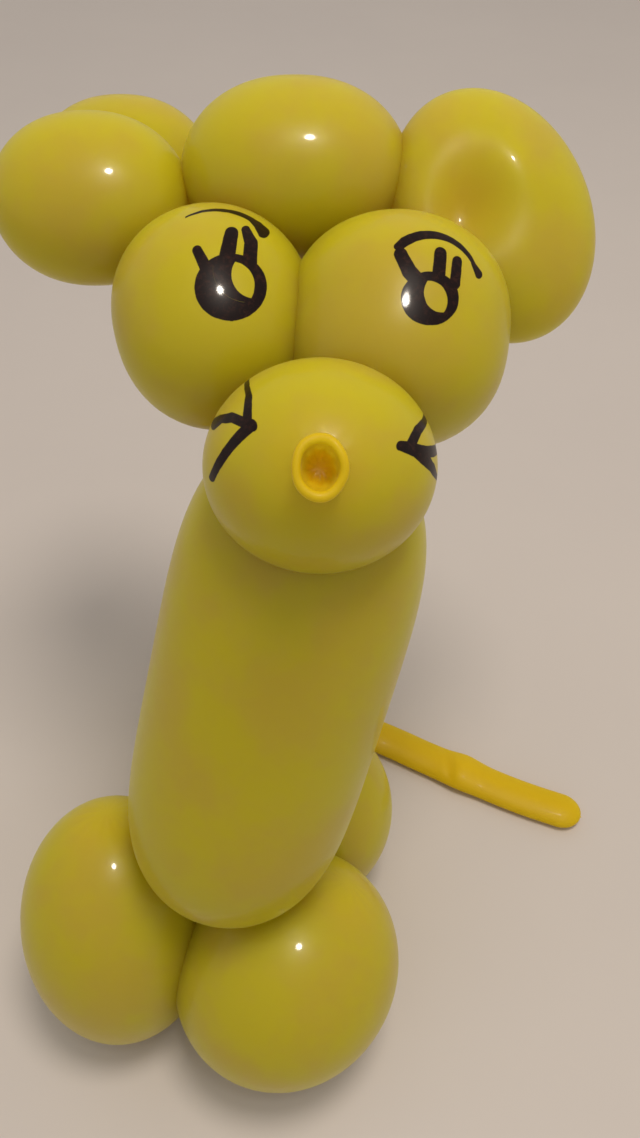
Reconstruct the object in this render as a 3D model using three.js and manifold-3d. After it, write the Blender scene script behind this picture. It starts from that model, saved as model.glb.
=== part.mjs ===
// Balloon giraffe: one long modelling balloon, blown up except for its last
// stretch and twisted into a chain of bubbles. Bubbles that share a twist press
// against each other, so the giraffe is one closed skin.
//
// Millimetres, +Z up. The face looks along -Y and up, +X is to the right of
// someone who faces it. The origin is under the middle of the giraffe, on the
// surface that its feet stand on.

import * as THREE from 'three';
import { mergeVertices } from 'three/addons/utils/BufferGeometryUtils.js';
import Module from 'manifold-3d';

const wasm = await Module();
wasm.setup();

// Twists, the pinched places where bubbles meet
const SHOULDER_HEIGHT = 54;
const HIP_HEIGHT = 46;
const TWIST_GIRTH = 11;

// Neck, from the shoulder twist to its rounded top
const NECK_LENGTH = 127.5;
const NECK_GIRTH_LOW = 54.4;
const NECK_GIRTH_HIGH = 55.5;
const NECK_LEAN_BACK = 25;
const NECK_LEAN_RIGHT = 15;
const NECK_BLUNTNESS = 4.5;
const HEAD_TWIST_BELOW_NECK_TOP = 10.5;

// Body, from the shoulder twist back to the hip twist
const BODY_LENGTH = 71;
const BODY_GIRTH = 45;
const BODY_TURN = 4;
const BODY_BLUNTNESS = 2.6;

// Legs: where each bubble's middle is from the shoulder twist, seen from above,
// and which way its length points
const FRONT_LEFT_LEG = { girth: 51.4, length: 74, middle: [-27.4, 1], along: [0, 0.41, 0.91] };
const FRONT_RIGHT_LEG = { girth: 58.4, length: 64.6, middle: [17.9, -9.7], along: [0.5, 0.4, 0.76] };
const HIND_RIGHT_LEG = { girth: 54, length: 57.8, middle: [21.6, 37.7], along: [0, 0.41, 0.91] };
const HIND_LEFT_LEG = { girth: 52, length: 56, middle: [-3, 80], along: [-0.1, 0.3, 0.95] };
const LEG_BLUNTNESS = 2;
const FOOT_FLATTENING = 0.7;

// Head: every place and size is a share of the girth of one head bubble. The
// three numbers of a place run to the right, up the face and out of the face,
// from the head twist. The face looks up by the angle given
const HEAD_BUBBLE_GIRTH = 44;
const FACE_LOOKS_UP = 44;
const SNOUT = {
  middle: [-0.014, 0.042, 0.433], along: [0, 0, 1], across: [1, 0, 0],
  girth: 0.998, length: 0.996, bluntness: 2.05, flattening: 0.916,
};
const LEFT_CHEEK = {
  middle: [-0.507, 0.737, -0.099], along: [-0.24, 0.95, -0.2], across: [1, 0, 0],
  girth: 0.958, length: 1.045, bluntness: 2.25, flattening: 1,
};
const RIGHT_CHEEK = {
  middle: [0.34, 0.666, -0.066], along: [0.12, 0.97, -0.2], across: [1, 0, 0],
  girth: 1.062, length: 1.085, bluntness: 2.5, flattening: 1,
};
const FOREHEAD = {
  middle: [-0.133, 1.479, -0.358], along: [1, 0, 0], across: [0, 1, 0],
  girth: 0.865, length: 1.12, bluntness: 2.2, flattening: 1,
};

// The left ear is seen from its edge: the two halves of a bubble folded double,
// and the bend that joins them at the far end
const LEFT_EAR_FRONT = {
  middle: [-1.135, 1.346, -0.344], along: [1, 0, 0], across: [0, 1, 0],
  girth: 0.814, length: 0.977, bluntness: 2.2, flattening: 0.85,
};
const LEFT_EAR_BACK = {
  middle: [-1.07, 1.616, -0.898], along: [1, 0, 0], across: [0, 1, 0],
  girth: 0.814, length: 0.977, bluntness: 2.2, flattening: 0.9,
};
const LEFT_EAR_BEND = {
  middle: [-1.33, 1.45, -0.62], along: [0.05, 0.4, -0.9], across: [1, 0, 0],
  girth: 0.56, length: 1.1, bluntness: 2.2, flattening: 1,
};

// The right ear is seen from its face: an oval ball pressed in from both faces
// where the fold's inside lies. A dent's place and reach are in half widths, its
// depth a share of the thickness, and one of negative depth swells
const RIGHT_EAR = {
  middle: [0.827, 1.252, -0.311], along: [-0.42, 0.91, 0], across: [0.91, 0.42, -0.15],
  width: 0.977, length: 1.25, thickness: 0.63,
  dents: [
    { across: -0.28, along: 0.115, reach: 0.3, depth: 0.5 },
    { across: -0.57, along: 0.016, reach: 0.26, depth: 0.18 },
    { across: 0.13, along: 0.22, reach: 0.27, depth: -0.14 },
  ],
};

// Nozzle, the balloon's mouth, tied off at the tip of the snout
const NOZZLE_LENGTH = 9;
const NOZZLE_TUBE_WIDTH = 7.4;
const NOZZLE_LIP_WIDTH = 9.2;
const NOZZLE_LIP_ROLL = 1.5;
const NOZZLE_MOUTH_DEPTH = 6.5;
const NOZZLE_SKIN = 0.8;
const NOZZLE_HEIGHT_SHARE = 1.2;
const KNOT_GIRTH = 8.5;
const LIP_START = -60;
const LIP_END = 180;
const LIP_STEPS = 6;

// Tail, the stretch that holds no air: from the hip twist it drops to the
// surface and lies on it. Its route is given from the hip twist, seen from
// above, with the share of the hip's height that is left at each point
const TAIL_WIDTH = 12;
const TAIL_THICKNESS = 5.6;
const TAIL_ROOT_WIDTH = 13;
const TAIL_ROUTE = [
  [-1, -1, 0.9], [9, 7, 0.68], [20, 12, 0.36], [31, 13.5, 0.12], [44, 10.5, 0.01],
  [58, 3.5, 0], [72, -3.5, 0], [89, -11.5, 0], [107.5, -18.5, 0],
];

// Shares of the tail's length: where the root's roundness has faded, how far each
// round end reaches, and where the last of the air swells it and by how much
const TAIL_ROOT_REACH = 0.22;
const TAIL_END_REACH = 0.05;
const TAIL_SWELLING = { at: 0.7, reach: 0.04, wider: 0.1, thicker: 0.25 };

// Room that the block under the surface takes, more than the giraffe's own
const UNDER_SURFACE_REACH = 500;
const UNDER_SURFACE_DEPTH = 50;

// Fineness of the skins
const AROUND = 20;
const ALONG = 12;
const NECK_ALONG = 16;
const EAR_AROUND = 26;
const EAR_ALONG = 18;
const TWIST_AROUND = 12;
const TWIST_ALONG = 8;
const NOZZLE_AROUND = 20;
const TAIL_AROUND = 12;
const TAIL_ALONG = 32;

const SKIN_COLOUR = 0xd9c83a;
const SKIN_ROUGHNESS = 0.28;

const radians = THREE.MathUtils.degToRad;
const vector = (numbers) => new THREE.Vector3(...numbers);

// A closed skin: the points of a unit sphere, its poles on Y, each moved by place
function skin(around, along, place) {
  const sphere = new THREE.SphereGeometry(1, around, along);
  sphere.deleteAttribute('normal');
  sphere.deleteAttribute('uv');
  const merged = mergeVertices(sphere, 1e-4);
  const points = merged.attributes.position;
  const point = new THREE.Vector3();
  for (let i = 0; i < points.count; i += 1) {
    point.fromBufferAttribute(points, i);
    place(point);
    points.setXYZ(i, point.x, point.y, point.z);
  }
  return merged;
}

// The solid inside a closed geometry. Triangles that have lost a side, as at the
// poles of a turned profile, are left out
function solidOf(geometry) {
  const corners = geometry.index.array;
  const kept = [];
  for (let i = 0; i < corners.length; i += 3) {
    const [a, b, c] = [corners[i], corners[i + 1], corners[i + 2]];
    if (a !== b && b !== c && c !== a) kept.push(a, b, c);
  }
  const mesh = new wasm.Mesh({
    numProp: 3,
    vertProperties: Float32Array.from(geometry.attributes.position.array),
    triVerts: Uint32Array.from(kept),
  });
  return new wasm.Manifold(mesh);
}

// The direction nearest to across that is square to along
function squareTo(along, across) {
  return across.clone().addScaledVector(along, -across.dot(along)).normalize();
}

// A straight bubble: its radius falls to nothing at both tips, as the square root
// of 1 - |u|^bluntness, where u runs from -1 to 1 between them
function straightBubble({ middle, along, across, length, girthLow, girthHigh, bluntness, flattening, rings }) {
  const axis = along.clone().normalize();
  const side = squareTo(axis, across);
  const other = new THREE.Vector3().crossVectors(side, axis);
  return solidOf(skin(AROUND, rings, (point) => {
    const u = point.y;
    const swing = Math.hypot(point.x, point.z) || 1;
    const girth = THREE.MathUtils.lerp(girthLow, girthHigh, (u + 1) / 2);
    const radius = (girth / 2) * Math.sqrt(Math.max(0, 1 - Math.abs(u) ** bluntness));
    const [x, z] = [point.x / swing, point.z / swing];
    point.copy(middle)
      .addScaledVector(axis, (u * length) / 2)
      .addScaledVector(side, x * radius)
      .addScaledVector(other, z * radius * flattening);
  }));
}

// A bubble folded double: an oval ball whose thickness is scaled by one less the
// sum of its dents, each a bell curve of the distance from the dent's place
function pressedBubble({ middle, along, across, width, length, thickness, dents }) {
  const axis = along.clone().normalize();
  const side = squareTo(axis, across);
  const out = new THREE.Vector3().crossVectors(side, axis);
  return solidOf(skin(EAR_AROUND, EAR_ALONG, (point) => {
    const left = dents.reduce((rest, dent) => {
      const away = Math.hypot(point.x - dent.across, point.y - dent.along) / dent.reach;
      return rest - dent.depth * Math.exp(-(away ** 2));
    }, 1);
    const [x, y, z] = [(point.x * width) / 2, (point.y * length) / 2, (point.z * left * thickness) / 2];
    point.copy(middle).addScaledVector(side, x).addScaledVector(axis, y).addScaledVector(out, z);
  }));
}

// A ball at a twist, where the skin is wrung into a cord
function twist(place, girth) {
  const ball = skin(TWIST_AROUND, TWIST_ALONG, (point) => point.multiplyScalar(girth / 2).add(place));
  return solidOf(ball);
}

// Where the neck points
function neckDirection() {
  const right = Math.tan(radians(NECK_LEAN_RIGHT));
  const back = Math.tan(radians(NECK_LEAN_BACK));
  return new THREE.Vector3(right, back, 1).normalize();
}

// The twists, from the shoulder's, which stands over the frame's first origin
function twistPlaces() {
  const shoulder = new THREE.Vector3(0, 0, SHOULDER_HEIGHT);
  const head = shoulder.clone().addScaledVector(neckDirection(), NECK_LENGTH - HEAD_TWIST_BELOW_NECK_TOP);
  const turn = radians(BODY_TURN);
  const reach = BODY_LENGTH - TWIST_GIRTH / 2;
  const hip = new THREE.Vector3(Math.sin(turn) * reach, Math.cos(turn) * reach, HIP_HEIGHT);
  return { shoulder, head, hip };
}

function neck(shoulder) {
  const along = neckDirection();
  return straightBubble({
    middle: shoulder.clone().addScaledVector(along, NECK_LENGTH / 2),
    along,
    across: new THREE.Vector3(1, 0, 0),
    length: NECK_LENGTH,
    girthLow: NECK_GIRTH_LOW,
    girthHigh: NECK_GIRTH_HIGH,
    bluntness: NECK_BLUNTNESS,
    flattening: 1,
    rings: NECK_ALONG,
  });
}

function body(shoulder, hip) {
  const middle = shoulder.clone().lerp(hip, 0.5);
  return straightBubble({
    middle,
    along: hip.clone().sub(shoulder),
    across: new THREE.Vector3(1, 0, 0),
    length: BODY_LENGTH,
    girthLow: BODY_GIRTH,
    girthHigh: BODY_GIRTH,
    bluntness: BODY_BLUNTNESS,
    flattening: 1,
    rings: ALONG,
  });
}

// A leg stands on its lowest point, pressed a little flat. Its middle is as high
// as half its width and half its length reach down together
function leg({ girth, length, middle, along }) {
  const axis = vector(along).normalize();
  const across = Math.hypot(axis.x, axis.y);
  const reachDown = Math.hypot((girth / 2) * across, (length / 2) * axis.z);
  return straightBubble({
    middle: new THREE.Vector3(middle[0], middle[1], reachDown - FOOT_FLATTENING),
    along: axis,
    across: new THREE.Vector3(1, 0, 0),
    length,
    girthLow: girth,
    girthHigh: girth,
    bluntness: LEG_BLUNTNESS,
    flattening: 1,
    rings: ALONG,
  });
}

// The head's own directions: right, up the face, out of the face
function headFrame(headTwist) {
  const tilt = radians(FACE_LOOKS_UP);
  const right = new THREE.Vector3(1, 0, 0);
  const up = new THREE.Vector3(0, Math.sin(tilt), Math.cos(tilt));
  const out = new THREE.Vector3(0, -Math.cos(tilt), Math.sin(tilt));
  const turned = (shares) => new THREE.Vector3()
    .addScaledVector(right, shares[0])
    .addScaledVector(up, shares[1])
    .addScaledVector(out, shares[2]);
  return { place: (shares) => turned(shares).multiplyScalar(HEAD_BUBBLE_GIRTH).add(headTwist), turned };
}

function headBubble(head, { middle, along, across, girth, length, bluntness, flattening }) {
  return straightBubble({
    middle: head.place(middle),
    along: head.turned(along),
    across: head.turned(across),
    length: length * HEAD_BUBBLE_GIRTH,
    girthLow: girth * HEAD_BUBBLE_GIRTH,
    girthHigh: girth * HEAD_BUBBLE_GIRTH,
    bluntness,
    flattening,
    rings: ALONG,
  });
}

function pressedHeadBubble(head, { middle, along, across, width, length, thickness, dents }) {
  return pressedBubble({
    middle: head.place(middle),
    along: head.turned(along),
    across: head.turned(across),
    width: width * HEAD_BUBBLE_GIRTH,
    length: length * HEAD_BUBBLE_GIRTH,
    thickness: thickness * HEAD_BUBBLE_GIRTH,
    dents,
  });
}

// The nozzle's profile, from inside the knot out to the rolled lip and back down
// the mouth, turned round the snout's axis and made a little taller than wide
function nozzle(head) {
  const out = head.turned(SNOUT.along).normalize();
  const snoutTip = SNOUT.middle.map((share, i) => share + (SNOUT.along[i] * SNOUT.length) / 2);
  const roll = NOZZLE_LIP_ROLL / 2;
  const lipRadius = NOZZLE_LIP_WIDTH / 2 - roll;
  const tube = NOZZLE_TUBE_WIDTH / 2;
  const lipCentre = new THREE.Vector2(lipRadius, NOZZLE_LENGTH - roll);
  const lip = Array.from({ length: LIP_STEPS + 1 }, (_, i) => {
    const turn = radians(THREE.MathUtils.lerp(LIP_START, LIP_END, i / LIP_STEPS));
    return new THREE.Vector2(Math.cos(turn) * roll, Math.sin(turn) * roll).add(lipCentre);
  });
  const floor = NOZZLE_LENGTH - NOZZLE_MOUTH_DEPTH;
  const profile = [
    new THREE.Vector2(0, -KNOT_GIRTH / 2),
    new THREE.Vector2(KNOT_GIRTH / 3, -KNOT_GIRTH / 4),
    new THREE.Vector2(KNOT_GIRTH / 2.2, KNOT_GIRTH / 8),
    new THREE.Vector2(tube * 0.8, KNOT_GIRTH / 3),
    new THREE.Vector2(tube, NOZZLE_LENGTH * 0.6),
    ...lip,
    new THREE.Vector2(tube - NOZZLE_SKIN, NOZZLE_LENGTH * 0.6),
    new THREE.Vector2((tube - NOZZLE_SKIN) * 0.7, floor + NOZZLE_SKIN),
    new THREE.Vector2(0, floor),
  ];
  const turned = new THREE.LatheGeometry(profile, NOZZLE_AROUND);
  turned.deleteAttribute('normal');
  turned.deleteAttribute('uv');
  const right = squareTo(out, head.turned(SNOUT.across));
  const down = new THREE.Vector3().crossVectors(right, out);
  const basis = new THREE.Matrix4().makeBasis(right, out, down.multiplyScalar(NOZZLE_HEIGHT_SHARE));
  turned.applyMatrix4(basis);
  const tip = head.place(snoutTip);
  turned.translate(tip.x, tip.y, tip.z);
  return solidOf(mergeVertices(turned, 1e-4));
}

// The limp tail: a flat tube along its route, wider at its root and round at its
// tip. Where it lies on the surface its route is that of its underside
function tail(hip) {
  const underside = -FOOT_FLATTENING / 2;
  const route = new THREE.CatmullRomCurve3(TAIL_ROUTE.map(([x, y, share]) => (
    new THREE.Vector3(hip.x + x, hip.y + y, THREE.MathUtils.lerp(underside, hip.z, share)))));
  const upright = new THREE.Vector3(0, 0, 1);
  return solidOf(skin(TAIL_AROUND, TAIL_ALONG, (point) => {
    const share = Math.acos(THREE.MathUtils.clamp(-point.y, -1, 1)) / Math.PI;
    const swing = Math.hypot(point.x, point.z) || 1;
    const tangent = route.getTangentAt(share);
    const side = new THREE.Vector3().crossVectors(tangent, upright).normalize();
    const top = new THREE.Vector3().crossVectors(side, tangent);
    const fromEnd = Math.min(1, Math.min(share, 1 - share) / TAIL_END_REACH);
    const roundEnd = Math.sqrt(1 - (1 - fromEnd) ** 2);
    const rooted = Math.exp(-((share / TAIL_ROOT_REACH) ** 2));
    const swelling = Math.exp(-(((share - TAIL_SWELLING.at) / TAIL_SWELLING.reach) ** 2));
    const wide = TAIL_WIDTH * (1 + TAIL_SWELLING.wider * swelling);
    const thick = TAIL_THICKNESS * (1 + TAIL_SWELLING.thicker * swelling);
    const width = THREE.MathUtils.lerp(wide, TAIL_ROOT_WIDTH, rooted);
    const thickness = THREE.MathUtils.lerp(thick, TAIL_ROOT_WIDTH, rooted);
    const [x, z] = [point.x / swing, point.z / swing];
    const reach = swing > 1e-6 ? roundEnd / 2 : 0;
    const middle = route.getPointAt(share);
    const lying = 1 - THREE.MathUtils.smoothstep(middle.z, 0, TAIL_ROOT_WIDTH);
    middle.z = Math.max(middle.z, underside) + (thickness / 2) * lying;
    point.copy(middle)
      .addScaledVector(side, x * width * reach)
      .addScaledVector(top, z * thickness * reach);
  }));
}

// What lies below the surface that the giraffe stands on
function underTheSurface() {
  const slab = new THREE.BoxGeometry(2 * UNDER_SURFACE_REACH, 2 * UNDER_SURFACE_REACH, UNDER_SURFACE_DEPTH)
    .translate(0, 0, -UNDER_SURFACE_DEPTH / 2);
  slab.deleteAttribute('normal');
  slab.deleteAttribute('uv');
  return solidOf(mergeVertices(slab, 1e-4));
}

function balloonSolid() {
  const { shoulder, head: headTwist, hip } = twistPlaces();
  const head = headFrame(headTwist);
  const bubbles = [
    neck(shoulder),
    body(shoulder, hip),
    ...[FRONT_LEFT_LEG, FRONT_RIGHT_LEG, HIND_RIGHT_LEG, HIND_LEFT_LEG].map(leg),
    ...[SNOUT, LEFT_CHEEK, RIGHT_CHEEK, FOREHEAD].map((bubble) => headBubble(head, bubble)),
    ...[LEFT_EAR_FRONT, LEFT_EAR_BACK, LEFT_EAR_BEND].map((bubble) => headBubble(head, bubble)),
    pressedHeadBubble(head, RIGHT_EAR),
    ...[shoulder, headTwist, hip].map((place) => twist(place, TWIST_GIRTH)),
    nozzle(head),
    tail(hip),
  ];
  return bubbles.reduce((whole, bubble) => whole.add(bubble)).subtract(underTheSurface());
}

// The balloon as one mesh, its footprint's middle over the origin
function balloonMesh() {
  const { vertProperties, triVerts } = balloonSolid().getMesh();
  const geometry = new THREE.BufferGeometry();
  geometry.setAttribute('position', new THREE.BufferAttribute(vertProperties, 3));
  geometry.setIndex(new THREE.BufferAttribute(triVerts, 1));
  geometry.computeBoundingBox();
  const middle = geometry.boundingBox.getCenter(new THREE.Vector3());
  geometry.translate(-middle.x, -middle.y, 0);
  const material = new THREE.MeshStandardMaterial({
    color: SKIN_COLOUR, roughness: SKIN_ROUGHNESS, metalness: 0, flatShading: true,
  });
  const mesh = new THREE.Mesh(geometry, material);
  mesh.name = 'balloon';
  return mesh;
}

const giraffe = new THREE.Group();
giraffe.add(balloonMesh());

export default giraffe;
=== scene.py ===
"""Balloon giraffe: a long yellow modelling balloon twisted into bubbles, its face drawn on with a marker.

The skin is one closed surface. Each bubble is a function of two parameters, and a boolean union presses
the bubbles together, as the solid of the frame does with coarser ones. The colour depends on how far the
latex is stretched: olive yellow on a full bubble, amber at a twist, on the nozzle and on the limp tail.

Lengths are millimetres until a mesh is written, which is in metres.
"""

from __future__ import annotations

import logging
import math
from abc import ABC, abstractmethod
from dataclasses import dataclass, field
from enum import Enum
from typing import Sequence

import bpy
import numpy as np
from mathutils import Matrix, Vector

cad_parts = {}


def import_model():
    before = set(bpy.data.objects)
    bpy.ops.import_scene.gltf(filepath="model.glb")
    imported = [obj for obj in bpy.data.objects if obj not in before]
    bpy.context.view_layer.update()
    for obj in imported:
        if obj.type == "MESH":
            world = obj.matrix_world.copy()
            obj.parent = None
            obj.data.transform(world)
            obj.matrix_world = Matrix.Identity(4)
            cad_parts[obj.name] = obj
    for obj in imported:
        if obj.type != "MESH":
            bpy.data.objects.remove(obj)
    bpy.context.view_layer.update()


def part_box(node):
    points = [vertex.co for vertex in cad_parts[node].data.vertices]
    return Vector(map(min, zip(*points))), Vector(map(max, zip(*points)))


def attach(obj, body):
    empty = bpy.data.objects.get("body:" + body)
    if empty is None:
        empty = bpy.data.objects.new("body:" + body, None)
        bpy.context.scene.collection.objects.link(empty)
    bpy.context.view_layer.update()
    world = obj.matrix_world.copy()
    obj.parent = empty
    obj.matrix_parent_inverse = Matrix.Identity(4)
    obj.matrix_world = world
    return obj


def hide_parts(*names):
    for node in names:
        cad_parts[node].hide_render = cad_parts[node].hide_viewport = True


MM = 0.001
NODE = "balloon"
logger = logging.getLogger("giraffe")

Triple = tuple[float, float, float]
Pair = tuple[float, float]
Shade = tuple[int, int, int]
Array = np.ndarray
Socket = bpy.types.NodeSocket


def unit(vector: Sequence[float]) -> Array:
    """The vector at length one."""
    array = np.asarray(vector, float)
    return array / np.linalg.norm(array)


def square_to(along: Array, across: Array) -> Array:
    """The direction nearest to across that is square to along."""
    return unit(across - (across @ along) * along)


def smooth_step(value: Array, start: float, end: float) -> Array:
    """Nought up to start, one from end on, and a smooth S between them: t squared times (3 - 2t)."""
    share = np.clip((value - start) / (end - start), 0.0, 1.0)
    return share * share * (3.0 - 2.0 * share)


def linear(red: int, green: int, blue: int) -> tuple[float, float, float, float]:
    """A colour given as a screen shows it, 0 to 255, as the linear values that shaders take.

    Args:
        red, green, blue: the screen's values.

    Returns:
        Red, green, blue and an alpha of one.
    """
    shown = [channel / 255.0 for channel in (red, green, blue)]
    low, knee = 12.92, 0.04045
    values = [c / low if c <= knee else ((c + 0.055) / 1.055) ** 2.4 for c in shown]
    return values[0], values[1], values[2], 1.0


def new_object(name: str, data: bpy.types.ID) -> bpy.types.Object:
    """A new object that holds the data, linked to the scene."""
    made = bpy.data.objects.new(name, data)
    bpy.context.collection.objects.link(made)
    return made


@dataclass
class Skin:
    """A surface: its points and its faces, which have three or four corners."""

    points: Array
    faces: list[tuple[int, ...]]

    @classmethod
    def over_rows(cls, rows: Array, first: Array, last: Array) -> Skin:
        """Closes a grid of rings with one point before its first ring and one after its last.

        Args:
            rows: rings by points round by three coordinates.
            first: the point that closes the first ring.
            last: the point that closes the last ring.

        Returns:
            The closed surface, its faces turned outwards.
        """
        rings, around = rows.shape[:2]
        points = np.vstack([rows.reshape(-1, 3), first, last])
        start, end = rings * around, rings * around + 1
        here = np.arange(around)
        there = (here + 1) % around
        low = (np.arange(rings - 1) * around)[:, None]
        quads = np.stack([low + here, low + there, low + around + there, low + around + here], axis=2)
        top = (rings - 1) * around
        first_fan = np.stack([there, here, np.full(around, start)], axis=1)
        last_fan = np.stack([top + here, top + there, np.full(around, end)], axis=1)
        faces = [tuple(face) for face in quads.reshape(-1, 4).tolist()]
        faces += [tuple(face) for face in np.vstack([first_fan, last_fan]).tolist()]
        skin = cls(points, faces)
        return skin if skin.volume() > 0 else cls(points, [face[::-1] for face in faces])

    def volume(self) -> float:
        """The volume inside: a sixth of the sum of each triangle's corners' triple products."""
        corners = np.array([(f[0], f[i], f[i + 1]) for f in self.faces for i in range(1, len(f) - 1)])
        a, b, c = (self.points[corners[:, i]] for i in range(3))
        return float(np.einsum("ij,ij->i", a, np.cross(b, c)).sum() / 6.0)

    def to_object(self, name: str) -> bpy.types.Object:
        """Writes the surface into a new mesh object, in metres."""
        mesh = bpy.data.meshes.new(name)
        mesh.from_pydata((self.points * MM).tolist(), [], self.faces)
        mesh.update()
        return new_object(name, mesh)


def round_grid(rings: int, around: int) -> tuple[Array, Array]:
    """Angles of a grid on a ball: from pole to pole, without the poles, and round the axis.

    Args:
        rings: rings between the poles.
        around: points on each ring.

    Returns:
        The angle from the first pole as a column and the angle round as a row.
    """
    down = np.linspace(0.0, math.pi, rings + 2)[1:-1, None]
    turn = np.linspace(0.0, 2.0 * math.pi, around, endpoint=False)[None, :]
    return down, turn


class Bubble(ABC):
    """A stretch of balloon between two twists."""

    @abstractmethod
    def skin(self) -> Skin:
        """The bubble's closed surface."""

    @abstractmethod
    def miss(self, points: Array) -> Array:
        """How far each point is from this bubble's surface."""

    @abstractmethod
    def slack(self, points: Array) -> Array:
        """How little the latex is stretched at each point, from 0 on a full bubble to 1."""


@dataclass
class StraightBubble(Bubble):
    """A bubble along a straight axis.

    Its radius is half its girth times the square root of 1 - |u|^bluntness, where u runs from -1 at one
    tip to 1 at the other. Pleats gather the skin at both tips: a cosine round the axis that fades away
    from the twist.
    """

    middle: Array
    along: Array
    across: Array
    length: float
    girth_low: float
    girth_high: float
    bluntness: float
    flattening: float = 1.0
    rings: int = 60
    around: int = 120
    pleats: int = 13
    pleat_depth: float = 0.035
    pleat_reach: float = 0.035
    amber_reach: float = 0.09
    amber: float = 0.15

    def frame(self) -> tuple[Array, Array, Array]:
        """The axis, the side and the direction square to both."""
        axis = unit(self.along)
        side = square_to(axis, self.across)
        return axis, side, np.cross(side, axis)

    def radius(self, u: Array) -> Array:
        """The radius at u, before pleats."""
        girth = self.girth_low + (self.girth_high - self.girth_low) * (u + 1.0) / 2.0
        return girth / 2.0 * np.sqrt(np.clip(1.0 - np.abs(u) ** self.bluntness, 0.0, None))

    def skin(self) -> Skin:
        """The bubble's closed surface, ring by ring from tip to tip."""
        axis, side, other = self.frame()
        down, turn = round_grid(self.rings, self.around)
        u = -np.cos(down)
        gathered = self.pleat_depth * np.exp(-((1.0 - np.abs(u)) / self.pleat_reach))
        radius = self.radius(u) * (1.0 + gathered * np.cos(self.pleats * turn + 2.0 * u))
        x = radius * np.cos(turn)
        z = radius * np.sin(turn) * self.flattening
        rows = self.middle + (u * self.length / 2.0)[..., None] * axis
        rows = rows + x[..., None] * side + z[..., None] * other
        tip = axis * self.length / 2.0
        return Skin.over_rows(rows, self.middle - tip, self.middle + tip)

    def shares(self, points: Array) -> tuple[Array, Array]:
        """Each point's u along the axis and its distance from the axis."""
        axis, side, other = self.frame()
        offset = points - self.middle
        across = np.hypot(offset @ side, offset @ other / self.flattening)
        return offset @ axis * 2.0 / self.length, across

    def miss(self, points: Array) -> Array:
        """How far each point is from the surface: square to the axis, less where the skin is steep."""
        u, across = self.shares(points)
        past = np.clip(np.abs(u) - 1.0, 0.0, None) * self.length / 2.0
        slope = 6.0 * np.clip(np.abs(u), 0.0, 1.0) ** 8
        steep = 1.0 / np.hypot(1.0, slope)
        return np.abs(across - self.radius(np.clip(u, -1.0, 1.0))) * steep + past

    def slack(self, points: Array) -> Array:
        """One at either tip, fading towards the full bubble."""
        u, _ = self.shares(points)
        from_tip = 1.0 - np.clip(np.abs(u), 0.0, 1.0)
        return self.amber * np.exp(-((from_tip / self.amber_reach) ** 2))


@dataclass(frozen=True)
class Dent:
    """Where a bubble is pressed in from both faces: its place and reach in half widths, and its depth.

    A depth below nought swells the bubble instead.
    """

    across: float
    along: float
    reach: float
    depth: float


@dataclass
class PressedBubble(Bubble):
    """A bubble folded double, so that both its faces are pressed in where the fold's inside lies.

    It is an oval ball whose thickness is scaled by one less the sum of its dents, each a bell curve of
    the distance from the dent's place, in half widths.
    """

    middle: Array
    along: Array
    across: Array
    size: Triple
    dents: tuple[Dent, ...]
    amber: float = 0.8
    rings: int = 100
    around: int = 140

    def frame(self) -> tuple[Array, Array, Array]:
        """The way along, the way across and the way out of the face."""
        along = unit(self.along)
        across = square_to(along, self.across)
        return along, across, np.cross(across, along)

    def bell(self, dent: Dent, x: Array, y: Array) -> Array:
        """One at the dent's place, fading to nought round it."""
        return np.exp(-((x - dent.across) ** 2 + (y - dent.along) ** 2) / dent.reach**2)

    def pressed(self, x: Array, y: Array) -> Array:
        """The share of the thickness that is left."""
        return 1.0 - sum(dent.depth * self.bell(dent, x, y) for dent in self.dents)

    def skin(self) -> Skin:
        """The ear's closed surface, from one end to the other."""
        along, across, out = self.frame()
        down, turn = round_grid(self.rings, self.around)
        y = np.cos(down) * np.ones_like(turn)
        x, z = np.sin(down) * np.cos(turn), np.sin(down) * np.sin(turn)
        z = z * self.pressed(x, y)
        half = np.array(self.size) / 2.0
        ways = ((x, across), (y, along), (z, out))
        local = sum((place * size)[..., None] * way for (place, way), size in zip(ways, half))
        end = along * half[1]
        return Skin.over_rows(self.middle + local, self.middle + end, self.middle - end)

    def local(self, points: Array) -> tuple[Array, Array, Array]:
        """Each point's place in half widths, across, along and out, as if nothing were pressed in."""
        along, across, out = self.frame()
        offset = points - self.middle
        x, y, z = (offset @ way * 2.0 / size for way, size in zip((across, along, out), self.size))
        return x, y, z / self.pressed(x, y)

    def miss(self, points: Array) -> Array:
        """How far each point is from the surface, about."""
        x, y, z = self.local(points)
        return np.abs(np.sqrt(x**2 + y**2 + z**2) - 1.0) * min(self.size) / 2.0

    def slack(self, points: Array) -> Array:
        """Most in the dents."""
        x, y, _ = self.local(points)
        pressed_in = 1.0 - self.pressed(x, y)
        return np.clip(self.amber * pressed_in, 0.0, 1.0)


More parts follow.
